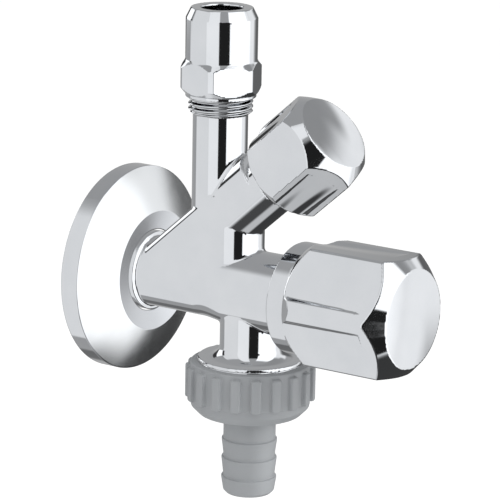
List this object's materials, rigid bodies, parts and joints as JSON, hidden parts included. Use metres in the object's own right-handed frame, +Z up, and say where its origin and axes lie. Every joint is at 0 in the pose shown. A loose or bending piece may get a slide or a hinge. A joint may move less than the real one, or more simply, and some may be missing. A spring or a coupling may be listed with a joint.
{
  "type": "washing machine valve",
  "caption": "Chromed combination angle valve with two screw-down shut-offs: a pipe outlet with compression nut above and a hose union with barbed tail below, with wall rosette.",
  "frame": {"origin": "centre of the wall connection, on the finished wall plane where the rosette's rim rests", "axes": "+Y along the inlet thread into the wall, -Y away from the wall towards the big handle, +Z up towards the pipe outlet, +X to the right for someone who faces the wall"},
  "size_m": [0.054, 0.1039, 0.1266],
  "materials": {
    "chrome": "polished chrome plate on brass",
    "brass": "turned brass",
    "steel": "bright spring steel",
    "rubber": "black moulded rubber",
    "fibre": "red vulcanised fibre",
    "grey_plastic": "fine satin moulded plastic"
  },
  "bodies": {
    "body": {"valve_body": "chrome", "big_bonnet": "brass", "big_bonnet_gasket": "fibre", "small_bonnet": "brass", "small_bonnet_gasket": "fibre", "outlet_seal": "rubber"},
    "rosette": {"wall_rosette": "chrome"},
    "big_stem": {"big_spindle": "brass", "big_handle": "chrome", "big_clip": "steel", "big_spindle_ring": "rubber"},
    "big_valve": {"big_plunger": "brass", "big_washer": "rubber", "big_washer_screw": "brass"},
    "small_stem": {"small_spindle": "brass", "small_handle": "chrome", "small_clip": "steel", "small_spindle_ring": "rubber"},
    "small_valve": {"small_plunger": "brass", "small_washer": "rubber", "small_washer_screw": "brass"},
    "thrust": {"thrust_ring": "brass"},
    "outlet_nut": {"compression_nut": "chrome"},
    "tail": {"hose_tail": "grey_plastic", "hose_gasket": "rubber"},
    "hose_nut": {"union_nut": "grey_plastic"}
  },
  "joints": [
    {"name": "rosette_slide", "type": "slide", "parent": "body", "child": "rosette", "axis": [0, -1, 0], "range_m": [0, 0.0025]},
    {"name": "big_handle_turn", "type": "hinge", "parent": "body", "child": "big_stem", "pos_m": [0, -0.06, 0], "axis": [0, -1, 0], "range_deg": [0, 900]},
    {"name": "big_plunger_lift", "type": "slide", "parent": "body", "child": "big_valve", "axis": [0, -1, 0], "range_m": [0, 0.00376]},
    {"name": "small_handle_turn", "type": "hinge", "parent": "body", "child": "small_stem", "pos_m": [0, -0.04403, 0.02556], "axis": [0, -0.7547, 0.6561], "range_deg": [0, 720]},
    {"name": "small_plunger_lift", "type": "slide", "parent": "body", "child": "small_valve", "axis": [0, -0.7547, 0.6561], "range_m": [0, 0.00301]},
    {"name": "thrust_ring_slide", "type": "slide", "parent": "body", "child": "thrust", "axis": [0, 0, 1], "range_m": [0, 0.00736]},
    {"name": "compression_nut_turn", "type": "hinge", "parent": "thrust", "child": "outlet_nut", "pos_m": [0, -0.0305, 0.054], "axis": [0, 0, 1], "range_deg": [0, 1980]},
    {"name": "hose_tail_slide", "type": "slide", "parent": "body", "child": "tail", "axis": [0, 0, -1], "range_m": [0, 0.00908]},
    {"name": "union_nut_turn", "type": "hinge", "parent": "tail", "child": "hose_nut", "pos_m": [0, -0.04134, -0.026], "axis": [0, 0, -1], "range_deg": [0, 1800]}
  ],
  "couplings": [
    {"joint": "big_plunger_lift", "follows": "big_handle_turn", "m_per_rad": 0.00023873},
    {"joint": "small_plunger_lift", "follows": "small_handle_turn", "m_per_rad": 0.00023873},
    {"joint": "thrust_ring_slide", "follows": "compression_nut_turn", "m_per_rad": 0.00021279},
    {"joint": "hose_tail_slide", "follows": "union_nut_turn", "m_per_rad": 0.00028871}
  ]
}
